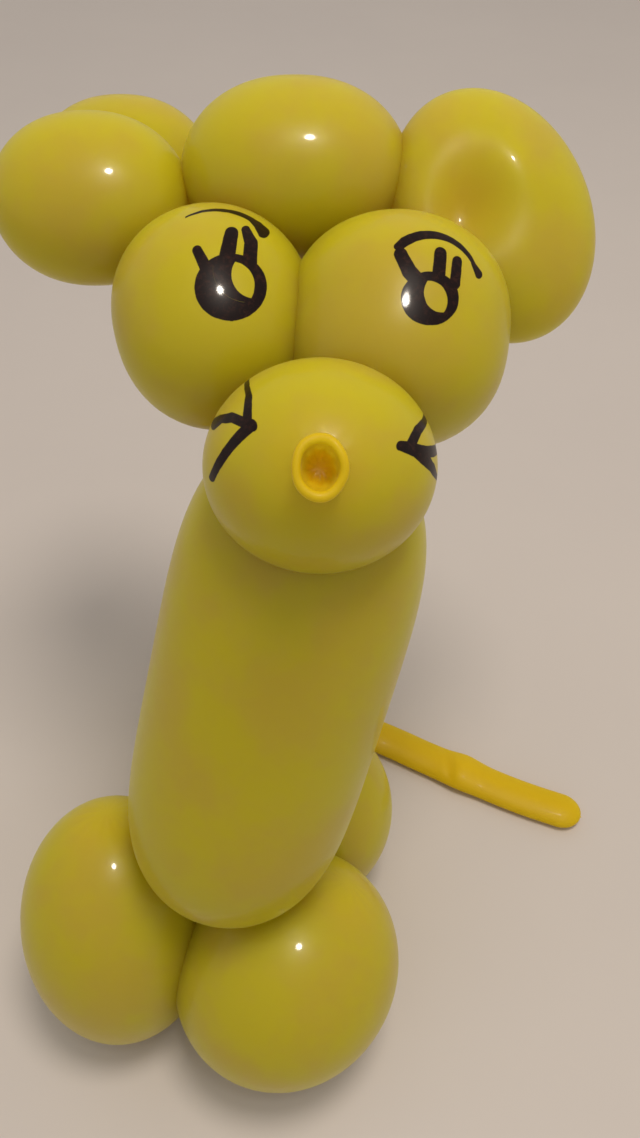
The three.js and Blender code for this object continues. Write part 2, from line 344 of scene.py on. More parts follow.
@dataclass
class Twist(Bubble):
    """The wrung skin at a twist: a small ball with ridges that run round it in a spiral."""

    middle: Array
    girth: float
    ridges: int = 9
    ridge_height: float = 0.05
    amber: float = 0.8
    rings: int = 24
    around: int = 72

    def skin(self) -> Skin:
        """The ball's closed surface."""
        down, turn = round_grid(self.rings, self.around)
        swell = 1.0 + self.ridge_height * np.sin(self.ridges * turn + 3.0 * down) * np.sin(down)
        radius = self.girth / 2.0 * swell
        x, y = radius * np.sin(down) * np.cos(turn), radius * np.sin(down) * np.sin(turn)
        z = self.girth / 2.0 * np.cos(down) * np.ones_like(turn)
        pole = np.array([0.0, 0.0, self.girth / 2.0])
        rows = self.middle + np.stack([x, y, z], axis=2)
        return Skin.over_rows(rows, self.middle + pole, self.middle - pole)

    def miss(self, points: Array) -> Array:
        """How far each point is from the ball."""
        return np.abs(np.linalg.norm(points - self.middle, axis=1) - self.girth / 2.0)

    def slack(self, points: Array) -> Array:
        """Wrung all over."""
        return np.full(len(points), self.amber)


@dataclass
class Nozzle(Bubble):
    """The balloon's mouth, tied off at the snout's tip.

    A profile of radius and height is turned round the snout's axis: out of the knot, up the tube, round
    the rolled lip and down the inside. Pinches in the knot are cosines round the axis, and the lip wavers
    a little, as rolled latex does.
    """

    tip: Array
    out: Array
    across: Array
    length: float = 9.0
    tube_width: float = 7.4
    lip_width: float = 9.2
    lip_roll: float = 1.5
    mouth_depth: float = 6.5
    wall: float = 0.8
    height_share: float = 1.2
    knot_girth: float = 8.5
    around: int = 96

    def frame(self) -> tuple[Array, Array, Array]:
        """The way out of the face, to the right and up the face."""
        out = unit(self.out)
        right = square_to(out, self.across)
        return out, right, np.cross(out, right)

    def profile(self) -> Array:
        """Each ring's radius, height and depth of pinches, from the knot to the mouth's floor."""
        roll = self.lip_roll / 2.0
        lip_radius, lip_height = self.lip_width / 2.0 - roll, self.length - roll
        tube, knot = self.tube_width / 2.0, self.knot_girth
        outside = [
            (0.04 * knot, -0.5 * knot, 0.0),
            (0.33 * knot, -0.25 * knot, 0.0),
            (0.45 * knot, 0.02 * knot, 0.10),
            (0.50 * knot, 0.13 * knot, 0.12),
            (0.46 * knot, 0.24 * knot, 0.12),
            (0.36 * knot, 0.31 * knot, 0.10),
            (0.78 * tube, 0.40 * knot, 0.07),
            (0.80 * tube, 0.46 * self.length, 0.05),
            (0.90 * tube, 0.58 * self.length, 0.02),
            (tube, 0.72 * self.length, 0.0),
        ]
        turns = np.radians(np.linspace(-75.0, 195.0, 19))
        lip = [(lip_radius + roll * math.cos(t), lip_height + roll * math.sin(t), 0.0) for t in turns]
        floor = self.length - self.mouth_depth
        inner = tube - self.wall
        inside = [
            (inner, 0.72 * self.length, 0.0),
            (0.92 * inner, 0.55 * self.length, 0.02),
            (0.70 * inner, floor + 0.9, 0.06),
            (0.40 * inner, floor + 0.2, 0.10),
            (0.05 * inner, floor, 0.0),
        ]
        return np.array(smooth_rows(outside, 4) + lip + smooth_rows(inside, 4))

    def skin(self) -> Skin:
        """The nozzle's closed surface."""
        out, right, up = self.frame()
        profile = self.profile()
        turn = np.linspace(0.0, 2.0 * math.pi, self.around, endpoint=False)[None, :]
        radius, height, pinch = (profile[:, i][:, None] for i in range(3))
        near_lip = smooth_step(height, 0.6 * self.length, self.length)
        waver = 0.018 * np.sin(3.0 * turn + 0.6) + 0.012 * np.sin(5.0 * turn + 2.0)
        shape = radius * (1.0 + pinch * np.cos(9.0 * turn + 0.5 * height) + near_lip * waver)
        egg = 1.0 - 0.05 * np.sin(turn)
        x = shape * np.cos(turn) * egg
        y = shape * np.sin(turn) * self.height_share
        z = height + near_lip * (0.22 * np.sin(2.0 * turn + 1.0) + 0.12 * np.sin(3.0 * turn))
        rows = self.tip + x[..., None] * right + y[..., None] * up + z[..., None] * out
        return Skin.over_rows(rows, rows[0].mean(axis=0), rows[-1].mean(axis=0))

    def miss(self, points: Array) -> Array:
        """Nought inside the space that the nozzle takes up, in front of the snout, and far outside it."""
        out, right, up = self.frame()
        offset = points - self.tip
        aside = np.hypot(offset @ right, offset @ up / self.height_share)
        near = (aside < 0.62 * self.knot_girth) & (offset @ out > 0.15)
        return np.where(near, 0.0, 1e3)

    def slack(self, points: Array) -> Array:
        """Not stretched at all."""
        return np.ones(len(points))


def smooth_rows(rows: Sequence[Triple], steps: int) -> list[tuple[float, ...]]:
    """Points along a smooth curve through rows, as a Catmull-Rom spline.

    Args:
        rows: the points that the curve passes through.
        steps: points from each one to the next.

    Returns:
        The curve's points, its last one included.
    """
    known = np.asarray(rows, float)
    padded = np.vstack([2 * known[0] - known[1], known, 2 * known[-1] - known[-2]])
    share = np.linspace(0.0, 1.0, steps, endpoint=False)[:, None]
    stretches = []
    for i in range(1, len(padded) - 2):
        a, b, c, d = padded[i - 1 : i + 3]
        square = (2 * a - 5 * b + 4 * c - d) * share**2
        cube = (3 * b - a - 3 * c + d) * share**3
        stretches.append(0.5 * (2 * b + (c - a) * share + square + cube))
    return [tuple(row) for row in np.vstack([*stretches, known[-1:]])]


@dataclass
class Tail(Bubble):
    """The stretch that holds no air: it drops from the hip twist and lies on the surface, flat and limp.

    Its section is an oval whose width and thickness change along the route: round at the root, flat
    beyond it, swollen a little where some air is left, with a crease beside that and a round tip. Fine
    folds run along it near the root.
    """

    route: Array
    width: float = 12.0
    thickness: float = 5.6
    root_width: float = 13.0
    root_reach: float = 0.22
    end_reach: float = 0.05
    swelling_place: float = 0.70
    swelling_reach: float = 0.04
    crease_place: float = 0.665
    crease_reach: float = 0.012
    crease_depth: float = 0.20
    underside: float = -0.35
    rings: int = 220
    around: int = 48

    def path(self) -> tuple[Array, Array, Array, Array]:
        """Points evenly along the route, their tangents, and the directions aside and on top."""
        fine = np.array(smooth_rows(self.route.tolist(), 60))
        run = np.concatenate([[0.0], np.cumsum(np.linalg.norm(np.diff(fine, axis=0), axis=1))])
        share = self.shares_along()
        place = np.stack([np.interp(share * run[-1], run, fine[:, i]) for i in range(3)], axis=1)
        tangent = np.gradient(place, axis=0)
        tangent /= np.linalg.norm(tangent, axis=1)[:, None]
        side = np.cross(tangent, [0.0, 0.0, 1.0])
        side /= np.linalg.norm(side, axis=1)[:, None]
        return place, tangent, side, np.cross(side, tangent)

    def shares_along(self) -> Array:
        """Shares of the route's length, closer together towards both ends."""
        return (1.0 - np.cos(np.linspace(0.0, math.pi, self.rings + 2)[1:-1])) / 2.0

    def skin(self) -> Skin:
        """The tail's closed surface."""
        place, tangent, side, top = self.path()
        share = self.shares_along()[:, None]
        turn = np.linspace(0.0, 2.0 * math.pi, self.around, endpoint=False)[None, :]
        from_end = np.clip(np.minimum(share, 1.0 - share) / self.end_reach, 0.0, 1.0)
        round_end = np.sqrt(1.0 - (1.0 - from_end) ** 2)
        rooted = np.exp(-((share / self.root_reach) ** 2))
        swelling = np.exp(-(((share - self.swelling_place) / self.swelling_reach) ** 2))
        askew = share - self.crease_place - 0.02 * np.cos(turn)
        on_top = smooth_step(np.sin(turn), -0.2, 0.8)
        crease = np.exp(-((askew / self.crease_reach) ** 2)) * on_top
        wide = self.width * (1.0 + 0.10 * swelling)
        thick = self.thickness * (1.0 + 0.25 * swelling)
        width = (wide + (self.root_width - wide) * rooted) * round_end
        high = thick + (self.root_width - thick) * rooted
        depth = high * round_end * (1.0 - self.crease_depth * crease)
        folds = 1.0 + 0.02 * np.cos(7.0 * turn + 9.0 * share) * (0.3 + rooted)
        x = np.cos(turn) * width / 2.0 * folds
        z = np.sin(turn) * depth / 2.0 * folds * (1.0 - 0.10 * np.cos(2.0 * turn) * (1.0 - rooted))
        lying = 1.0 - smooth_step(place[:, 2:3], 0.0, self.root_width)
        lift = np.maximum(place[:, 2:3], self.underside) + high / 2.0 * lying - place[:, 2:3]
        rows = place[:, None, :] + x[..., None] * side[:, None, :] + z[..., None] * top[:, None, :]
        rows[..., 2] += lift
        ends = [rows[0].mean(axis=0) - 0.4 * tangent[0], rows[-1].mean(axis=0) + 0.4 * tangent[-1]]
        return Skin.over_rows(rows, *ends)

    def miss(self, points: Array) -> Array:
        """How far each point is outside the tail's width, measured from some of its route's points."""
        place = self.path()[0][::6]
        nearest = np.full(len(points), np.inf)
        for middle in place:
            nearest = np.minimum(nearest, np.linalg.norm(points - middle, axis=1))
        return np.clip(nearest - 0.62 * self.root_width, 0.05, None)

    def slack(self, points: Array) -> Array:
        """Not stretched at all."""
        return np.ones(len(points))


@dataclass
class Head:
    """The head's own directions and scale: places are shares of one head bubble's girth from its twist."""

    twist: Array
    bubble_girth: float = 44.0
    looks_up: float = 44.0

    def axes(self) -> Array:
        """Right, up the face and out of the face, as rows."""
        tilt = math.radians(self.looks_up)
        return np.array(
            [[1.0, 0.0, 0.0], [0.0, math.sin(tilt), math.cos(tilt)], [0.0, -math.cos(tilt), math.sin(tilt)]]
        )

    def turned(self, shares: Triple) -> Array:
        """A direction given along the head's own axes."""
        return np.asarray(shares) @ self.axes()

    def place(self, shares: Triple) -> Array:
        """A place given in shares of the bubble's girth from the twist."""
        return self.twist + self.bubble_girth * self.turned(shares)

    def bubble(
        self, middle: Triple, along: Triple, across: Triple,
        girth: float, length: float, bluntness: float, flattening: float,
    ) -> StraightBubble:
        """A straight head bubble from shares.

        Args:
            middle: its middle, from the head twist.
            along: the way its length points.
            across: the way its side faces.
            girth: its widest, as a share.
            length: its length, as a share.
            bluntness: how blunt its tips are.
            flattening: how thick it is to its width.

        Returns:
            The bubble at its real size.
        """
        size = self.bubble_girth
        return StraightBubble(
            self.place(middle), self.turned(along), self.turned(across), length * size,
            girth * size, girth * size, bluntness, flattening,
        )

    def pressed_bubble(
        self, middle: Triple, along: Triple, across: Triple, size: Triple, dents: tuple[Dent, ...]
    ) -> PressedBubble:
        """A folded head bubble from shares.

        Args:
            middle: its middle, from the head twist.
            along: the way its length points.
            across: the way its width points.
            size: its width, length and thickness, as shares.
            dents: where it is pressed in.

        Returns:
            The bubble at its real size.
        """
        width, length, thickness = (share * self.bubble_girth for share in size)
        return PressedBubble(
            self.place(middle), self.turned(along), self.turned(across), (width, length, thickness), dents
        )


@dataclass
class Balloon:
    """The whole balloon: its twists, its bubbles, its nozzle and its tail, as one closed skin."""

    shoulder_height: float = 54.0
    hip_height: float = 46.0
    twist_girth: float = 11.0
    neck_length: float = 127.5
    neck_girth: tuple[float, float] = (54.4, 55.5)
    neck_lean_back: float = 25.0
    neck_lean_right: float = 15.0
    neck_bluntness: float = 4.5
    head_twist_below_neck_top: float = 10.5
    body_length: float = 71.0
    body_girth: float = 45.0
    body_turn: float = 4.0
    body_bluntness: float = 2.6
    leg_bluntness: float = 2.0
    foot_flattening: float = 0.7
    crease_angle: float = 26.0
    tail_route: tuple[Triple, ...] = (
        (-1, -1, 0.9), (9, 7, 0.68), (20, 12, 0.36), (31, 13.5, 0.12), (44, 10.5, 0.01),
        (58, 3.5, 0), (72, -3.5, 0), (89, -11.5, 0), (107.5, -18.5, 0),
    )
    bubbles: list[Bubble] = field(default_factory=list)

    def neck_direction(self) -> Array:
        """Where the neck points: up, leaning back and to the right."""
        lean = [math.tan(math.radians(angle)) for angle in (self.neck_lean_right, self.neck_lean_back)]
        return unit([*lean, 1.0])

    def twists(self) -> tuple[Array, Array, Array]:
        """The shoulder's, the head's and the hip's twist, the shoulder's over the origin."""
        shoulder = np.array([0.0, 0.0, self.shoulder_height])
        head = shoulder + self.neck_direction() * (self.neck_length - self.head_twist_below_neck_top)
        reach = self.body_length - self.twist_girth / 2.0
        turn = math.radians(self.body_turn)
        hip = np.array([math.sin(turn) * reach, math.cos(turn) * reach, self.hip_height])
        return shoulder, head, hip

    def leg(self, girth: float, length: float, middle: tuple[float, float], along: Triple) -> StraightBubble:
        """A leg bubble that stands on its lowest point, pressed a little flat.

        Args:
            girth: its widest.
            length: its length.
            middle: its middle from the shoulder twist, seen from above.
            along: the way its length points.

        Returns:
            The bubble.
        """
        axis = unit(along)
        down = math.hypot(girth / 2.0, math.sqrt(length**2 - girth**2) / 2.0 * axis[2])
        place = np.array([*middle, down - self.foot_flattening])
        return StraightBubble(place, axis, np.array([1.0, 0, 0]), length, girth, girth, self.leg_bluntness)

    def trunk(self) -> list[Bubble]:
        """The neck, the body and the four legs."""
        shoulder, _, hip = self.twists()
        right = np.array([1.0, 0.0, 0.0])
        neck = StraightBubble(
            shoulder + self.neck_direction() * self.neck_length / 2.0, self.neck_direction(), right,
            self.neck_length, *self.neck_girth, self.neck_bluntness, rings=96, around=128,
            pleat_reach=0.02, amber_reach=0.05,
        )
        body = StraightBubble(
            (shoulder + hip) / 2.0, hip - shoulder, right, self.body_length,
            self.body_girth, self.body_girth, self.body_bluntness,
        )
        legs = [
            self.leg(51.4, 74.0, (-27.4, 1.0), (0.0, 0.41, 0.91)),
            self.leg(58.4, 64.6, (17.9, -9.7), (0.5, 0.4, 0.76)),
            self.leg(54.0, 57.8, (21.6, 37.7), (0.0, 0.41, 0.91)),
            self.leg(52.0, 56.0, (-3.0, 80.0), (-0.1, 0.3, 0.95)),
        ]
        return [neck, body, *legs]

    def head(self) -> list[Bubble]:
        """The snout with its nozzle, the cheeks, the forehead and the ears."""
        head = Head(self.twists()[1])
        right, up, out = (1.0, 0.0, 0.0), (0.0, 1.0, 0.0), (0.0, 0.0, 1.0)
        snout = head.bubble((-0.014, 0.042, 0.433), out, right, 0.998, 0.996, 2.05, 0.916)
        tip = snout.middle + unit(snout.along) * snout.length / 2.0
        return [
            snout,
            head.bubble((-0.507, 0.737, -0.099), (-0.24, 0.95, -0.2), right, 0.958, 1.045, 2.25, 1.0),
            head.bubble((0.34, 0.666, -0.066), (0.12, 0.97, -0.2), right, 1.062, 1.085, 2.5, 1.0),
            head.bubble((-0.133, 1.479, -0.358), right, up, 0.865, 1.12, 2.2, 1.0),
            head.bubble((-1.135, 1.346, -0.344), right, up, 0.814, 0.977, 2.2, 0.85),
            head.bubble((-1.07, 1.616, -0.898), right, up, 0.814, 0.977, 2.2, 0.9),
            head.bubble((-1.33, 1.45, -0.62), (0.05, 0.4, -0.9), right, 0.56, 1.1, 2.2, 1.0),
            head.pressed_bubble(
                (0.827, 1.252, -0.311), (-0.42, 0.91, 0.0), (0.91, 0.42, -0.15), (0.977, 1.25, 0.63),
                (
                    Dent(-0.27, 0.156, 0.384, 0.25),
                    Dent(-0.498, 0.031, 0.282, 0.24),
                    Dent(0.156, 0.241, 0.29, -0.12),
                ),
            ),
            Nozzle(tip, snout.along, head.turned(right)),
        ]

    def tail(self) -> Tail:
        """The tail, its route given from the hip twist with the share of the hip's height left."""
        hip = self.twists()[2]
        under = -self.foot_flattening / 2.0
        drop = hip[2] - under
        route = [(hip[0] + x, hip[1] + y, under + drop * share) for x, y, share in self.tail_route]
        return Tail(np.array(route), underside=under)

    def skin_object(self) -> bpy.types.Object:
        """Joins every bubble's skin into one closed mesh, cut flat where the feet stand."""
        knots = [Twist(place, self.twist_girth) for place in self.twists()]
        self.bubbles = [*self.trunk(), *self.head(), *knots, self.tail()]
        parts = [bubble.skin().to_object(f"bubble_{i}") for i, bubble in enumerate(self.bubbles)]
        whole = parts[0]
        for other in parts[1:]:
            join(whole, other, Joining.UNION)
        join(whole, surface_block(), Joining.DIFFERENCE)
        shown = bpy.data.meshes.new_from_object(whole.evaluated_get(bpy.context.evaluated_depsgraph_get()))
        for part in [*parts, bpy.data.objects["under_surface"]]:
            bpy.data.objects.remove(part, do_unlink=True)
        shown.name = "balloon_skin"
        return new_object("balloon_skin", shown)

    def place_over_frame(self, mesh: bpy.types.Mesh) -> Array:
        """Moves the mesh so that its footprint's middle is the CAD solid's, and gives the move."""
        points = mesh_points(mesh)
        low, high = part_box(NODE)
        middle = (points.min(axis=0) + points.max(axis=0)) / 2.0
        move = np.array([(low[0] + high[0]) / 2.0, (low[1] + high[1]) / 2.0, 0.0]) - middle
        move[2] = 0.0
        mesh.vertices.foreach_set("co", (points + move).astype(np.float32).ravel())
        mesh.update()
        return move

    def mark_slack(self, mesh: bpy.types.Mesh, move: Array) -> None:
        """Writes how slack the latex is at each point, taken from the bubble whose surface is nearest."""
        points = (mesh_points(mesh) - move) / MM
        misses = np.stack([bubble.miss(points) for bubble in self.bubbles])
        slacks = np.stack([bubble.slack(points) for bubble in self.bubbles])
        slack = slacks[misses.argmin(axis=0), np.arange(len(points))]
        layer = mesh.attributes.new("slack", "FLOAT", "POINT")
        layer.data.foreach_set("value", slack.astype(np.float32))

    def build(self) -> tuple[bpy.types.Object, Array]:
        """The finished skin, smooth but for its creases, and the place under its shoulder twist."""
        made = self.skin_object()
        mesh = made.data
        move = self.place_over_frame(mesh)
        self.mark_slack(mesh, move)
        mesh.polygons.foreach_set("use_smooth", np.ones(len(mesh.polygons), bool))
        mesh.set_sharp_from_angle(angle=math.radians(self.crease_angle))
        return made, move / MM


class Joining(Enum):
    """How a boolean joins two meshes."""

    UNION = "UNION"
    DIFFERENCE = "DIFFERENCE"


def join(whole: bpy.types.Object, other: bpy.types.Object, how: Joining) -> None:
    """Gives whole a boolean modifier that joins it with other."""
    modifier = whole.modifiers.new(other.name, "BOOLEAN")
    modifier.object = other
    modifier.operation = how.value
    modifier.solver = "MANIFOLD"


def surface_block() -> bpy.types.Object:
    """A block that fills the space under the surface that the giraffe stands on."""
    reach, depth = 500.0, 50.0
    corners = np.array([(x, y, z) for z in (-depth, 0.0) for y in (-reach, reach) for x in (-reach, reach)])
    faces = [(0, 2, 3, 1), (4, 5, 7, 6), (0, 1, 5, 4), (2, 6, 7, 3), (0, 4, 6, 2), (1, 3, 7, 5)]
    return Skin(corners, faces).to_object("under_surface")


def mesh_points(mesh: bpy.types.Mesh) -> Array:
    """A mesh's vertices as rows."""
    values = np.empty(len(mesh.vertices) * 3, np.float32)
    mesh.vertices.foreach_get("co", values)
    return values.reshape(-1, 3).astype(float)


class NodeSheet:
    """A material's nodes, added one call at a time. Values may be numbers, vectors or sockets."""

    def __init__(self, tree: bpy.types.NodeTree) -> None:
        """Starts on a tree."""
        self.tree = tree

    def add(self, kind: str) -> bpy.types.Node:
        """A new node."""
        return self.tree.nodes.new(kind)

    def feed(self, socket: Socket, value: object) -> None:
        """Links a socket into this one, or sets its value."""
        if isinstance(value, Socket):
            self.tree.links.new(value, socket)
        else:
            socket.default_value = value

    def math(self, operation: str, *values: object, clamp: bool = False) -> Socket:
        """A math node's result."""
        node = self.add("ShaderNodeMath")
        node.operation = operation
        node.use_clamp = clamp
        for socket, value in zip(node.inputs, values):
            self.feed(socket, value)
        return node.outputs[0]

    def vector(self, operation: str, *values: object, scale: object = None) -> Socket:
        """A vector math node's result: its number for a length, distance or dot product."""
        node = self.add("ShaderNodeVectorMath")
        node.operation = operation
        for socket, value in zip(node.inputs, values):
            self.feed(socket, value)
        if scale is not None:
            self.feed(node.inputs["Scale"], scale)
        as_number = operation in {"LENGTH", "DISTANCE", "DOT_PRODUCT"}
        return node.outputs["Value" if as_number else "Vector"]

    def mix(self, share: object, first: object, second: object) -> Socket:
        """The colour between first and second."""
        node = self.add("ShaderNodeMix")
        node.data_type = "RGBA"
        for name, value in (("Factor_Float", share), ("A_Color", first), ("B_Color", second)):
            self.feed(next(s for s in node.inputs if s.identifier == name), value)
        return next(s for s in node.outputs if s.identifier == "Result_Color")

    def ramp(
        self, value: object, start: float, end: float, low: float = 0.0, high: float = 1.0
    ) -> Socket:
        """A value's smooth way from low to high between start and end."""
        node = self.add("ShaderNodeMapRange")
        node.interpolation_type = "SMOOTHSTEP"
        for socket, given in zip(node.inputs, (value, start, end, low, high)):
            self.feed(socket, given)
        return node.outputs[0]

    def between(self, share: Socket, low: float, high: float) -> Socket:
        """The value that lies between low and high by the share."""
        return self.math("MULTIPLY_ADD", share, high - low, low)

    def noise(
        self, place: object, scale: float, detail: float = 2.0, roughness: float = 0.5
    ) -> bpy.types.Node:
        """A noise node."""
        node = self.add("ShaderNodeTexNoise")
        self.feed(node.inputs["Vector"], place)
        for name, value in (("Scale", scale), ("Detail", detail), ("Roughness", roughness)):
            node.inputs[name].default_value = value
        return node


def new_material(name: str) -> tuple[bpy.types.Material, NodeSheet, bpy.types.Node]:
    """A new material, the sheet of its nodes and its shader."""
    made = bpy.data.materials.new(name)
    made.use_nodes = True
    shader = next(node for node in made.node_tree.nodes if node.type == "BSDF_PRINCIPLED")
    return made, NodeSheet(made.node_tree), shader


STROKE_GROUP = "stroke piece"


def stroke_group() -> bpy.types.NodeTree:
    """A node group: the distance from a place to a straight piece of a stroke, less half its width.

    The nearest point is the start plus the way times t, where t is the place's share along the way,
    held between 0 and 1. The half width grows along with t.

    Returns:
        The group, made on its first use.
    """
    if STROKE_GROUP in bpy.data.node_groups:
        return bpy.data.node_groups[STROKE_GROUP]
    tree = bpy.data.node_groups.new(STROKE_GROUP, "ShaderNodeTree")
    for name in ("Place", "Start", "Way", "Pull"):
        tree.interface.new_socket(name, in_out="INPUT", socket_type="NodeSocketVector")
    for name in ("Half width", "Growth"):
        tree.interface.new_socket(name, in_out="INPUT", socket_type="NodeSocketFloat")
    tree.interface.new_socket("Distance", in_out="OUTPUT", socket_type="NodeSocketFloat")
    sheet = NodeSheet(tree)
    given = sheet.add("NodeGroupInput").outputs
    offset = sheet.vector("SUBTRACT", given["Place"], given["Start"])
    along = sheet.math("ADD", sheet.vector("DOT_PRODUCT", offset, given["Pull"]), 0.0, clamp=True)
    nearest = sheet.vector("SCALE", given["Way"], scale=along)
    away = sheet.vector("DISTANCE", offset, nearest)
    half = sheet.math("MULTIPLY_ADD", along, given["Growth"], given["Half width"])
    sheet.feed(sheet.add("NodeGroupOutput").inputs["Distance"], sheet.math("SUBTRACT", away, half))
    return tree


class Mark(ABC):
    """Something drawn on the face, as a distance from its edge: below nought inside it."""

    @abstractmethod
    def distance(self, sheet: NodeSheet, place: Socket) -> Socket:
        """The distance from a place to the mark's edge."""


@dataclass(frozen=True)
class Stroke(Mark):
    """A line of the marker through points given as across, up and the ink's width there."""

    points: tuple[Triple, ...]

    def distance(self, sheet: NodeSheet, place: Socket) -> Socket:
        """The least of the distances to its straight pieces."""
        pieces = []
        for (x0, y0, w0), (x1, y1, w1) in zip(self.points, self.points[1:]):
            way = np.array([x1 - x0, y1 - y0, 0.0])
            node = sheet.add("ShaderNodeGroup")
            node.node_tree = stroke_group()
            sheet.feed(node.inputs["Place"], place)
            sheet.feed(node.inputs["Start"], (x0, y0, 0.0))
            sheet.feed(node.inputs["Way"], tuple(way))
            sheet.feed(node.inputs["Pull"], tuple(way / (way @ way)))
            sheet.feed(node.inputs["Half width"], w0 / 2.0)
            sheet.feed(node.inputs["Growth"], (w1 - w0) / 2.0)
            pieces.append(node.outputs["Distance"])
        return least(sheet, pieces)


@dataclass(frozen=True)
class Arc(Mark):
    """A curved line of the marker, along the circle through three points, its width changing evenly."""

    start: Pair
    crest: Pair
    end: Pair
    widths: Pair

    def circle(self) -> tuple[Array, float]:
        """The centre and the radius of the circle through the three points."""
        start, crest, end = (np.array(point) for point in (self.start, self.crest, self.end))
        sides = 2.0 * np.stack([crest - start, end - start])
        centre = np.linalg.solve(sides, [crest @ crest - start @ start, end @ end - start @ start])
        return centre, float(np.linalg.norm(start - centre))

    def distance(self, sheet: NodeSheet, place: Socket) -> Socket:
        """The distance to the circle less half the width, cut straight across at both ends."""
        centre, radius = self.circle()
        way = np.array(self.end) - np.array(self.start)
        reach = float(np.linalg.norm(way))
        offset = sheet.vector("SUBTRACT", place, (*self.start, 0.0))
        share = sheet.vector("DOT_PRODUCT", offset, (*(way / reach**2), 0.0))
        half = sheet.between(share, self.widths[0] / 2.0, self.widths[1] / 2.0)
        away = sheet.math("SUBTRACT", sheet.vector("DISTANCE", place, (*centre, 0.0)), radius)
        line = sheet.math("SUBTRACT", sheet.math("ABSOLUTE", away), half)
        past = sheet.math("SUBTRACT", sheet.math("ABSOLUTE", sheet.math("SUBTRACT", share, 0.5)), 0.5)
        line = sheet.math("MAXIMUM", line, sheet.math("MULTIPLY", past, reach))
        aside = np.array([-way[1], way[0]]) / reach
        aside *= np.sign(aside @ (np.array(self.crest) - np.array(self.start)))
        back = sheet.vector("DOT_PRODUCT", offset, (*-aside, 0.0))
        return sheet.math("MAXIMUM", line, sheet.math("SUBTRACT", back, max(self.widths)))


@dataclass(frozen=True)
class Disc(Mark):
    """A filled oval: its distance is that of a unit circle, stretched back by its lesser radius."""

    centre: Pair
    radii: Pair

    def distance(self, sheet: NodeSheet, place: Socket) -> Socket:
        """The length of the offset over the radii, less one, times the lesser radius."""
        offset = sheet.vector("SUBTRACT", place, (*self.centre, 0.0))
        stretched = sheet.vector("DIVIDE", offset, (*self.radii, 1.0))
        past = sheet.math("SUBTRACT", sheet.vector("LENGTH", stretched), 1.0)
        return sheet.math("MULTIPLY", past, min(self.radii))


@dataclass(frozen=True)
class Leaf(Mark):
    """A leaf with two points: what two equal circles that pass through both points have in common."""

    start: Pair
    end: Pair
    half_width: float

    def distance(self, sheet: NodeSheet, place: Socket) -> Socket:
        """The greater of the distances to the two circles."""
        start, end = np.array(self.start), np.array(self.end)
        middle, half = (start + end) / 2.0, np.linalg.norm(end - start) / 2.0
        radius = (half**2 + self.half_width**2) / (2.0 * self.half_width)
        aside = np.array([-(end - start)[1], (end - start)[0]]) / (2.0 * half)
        circles = []
        for way in (-1.0, 1.0):
            centre = middle + way * aside * (radius - self.half_width)
            circles.append(sheet.math("SUBTRACT", sheet.vector("DISTANCE", place, (*centre, 0.0)), radius))
        return sheet.math("MAXIMUM", *circles)


def least(sheet: NodeSheet, values: Sequence[Socket]) -> Socket:
    """The least of several values."""
    result = values[0]
    for value in values[1:]:
        result = sheet.math("MINIMUM", result, value)
    return result


@dataclass(frozen=True)
class FacePatch:
    """A part of the drawing: what is inked, what is left bare in it, and how far forward it lies."""

    inked: tuple[Mark, ...]
    bare: tuple[Mark, ...]
    nearest: float

    def distance(self, sheet: NodeSheet, place: Socket) -> Socket:
        """The distance to the ink: the greater of that to what is inked and minus that to what is bare."""
        result = least(sheet, [mark.distance(sheet, place) for mark in self.inked])
        for mark in self.bare:
            result = sheet.math("MAXIMUM", result, sheet.math("MULTIPLY", mark.distance(sheet, place), -1.0))
        return result


LEFT_EYE = FacePatch(
    inked=(
        Disc((-17.4, 37.6), (6.7, 6.1)),
        Stroke(((-17.8, 34.6, 4.0), (-17.2, 32.2, 1.6))),
        Arc((-26.6, 50.5), (-20.0, 52.0), (-13.6, 50.0), (0.35, 0.95)),
        Stroke(((-14.1, 50.3, 0.9), (-12.7, 49.2, 1.5), (-11.6, 47.8, 2.2))),
        Stroke(((-23.7, 44.2, 1.9), (-21.9, 40.9, 2.3))),
        Stroke(((-17.5, 47.4, 2.6), (-18.1, 43.0, 3.0))),
        Stroke(((-14.9, 48.2, 1.6), (-13.8, 45.7, 2.5), (-13.9, 42.2, 2.7))),
    ),
    bare=(
        Leaf((-16.6, 42.2), (-13.6, 35.6), 1.9),
        Arc((-20.7, 41.4), (-19.2, 37.1), (-14.8, 34.9), (-0.07, -0.03)),
    ),
    nearest=-8.0,
)
RIGHT_EYE = FacePatch(
    inked=(
        Disc((19.7, 35.6), (5.5, 4.8)),
        Arc((14.4, 45.2), (20.4, 47.0), (28.7, 41.3), (1.9, 0.8)),
        Stroke(((13.7, 44.8, 1.3), (15.0, 45.7, 1.8))),
        Stroke(((28.3, 41.9, 0.9), (29.4, 39.9, 1.6))),
        Stroke(((14.3, 43.4, 2.5), (15.8, 40.4, 2.8), (17.9, 38.0, 3.0))),
        Stroke(((21.8, 43.6, 2.4), (21.3, 39.6, 2.6))),
        Stroke(((25.0, 42.2, 2.0), (24.4, 38.2, 2.2))),
    ),
    bare=(Leaf((19.2, 38.7), (22.2, 33.1), 2.05),),
    nearest=-4.0,
)
LEFT_MOUTH_END = FacePatch(
    inked=(
        Stroke(((-14.2, 21.9, 1.0), (-13.0, 19.4, 1.3), (-13.1, 15.8, 1.8))),
        Stroke(((-19.9, 13.7, 1.4), (-18.2, 15.1, 1.3), (-15.9, 15.8, 1.6), (-12.2, 15.0, 2.0))),
        Arc((-12.5, 14.8), (-16.6, 10.5), (-19.8, 5.0), (1.9, 1.3)),
        Disc((-19.8, 5.0), (0.65, 0.65)),
    ),
    bare=(),
    nearest=16.0,
)
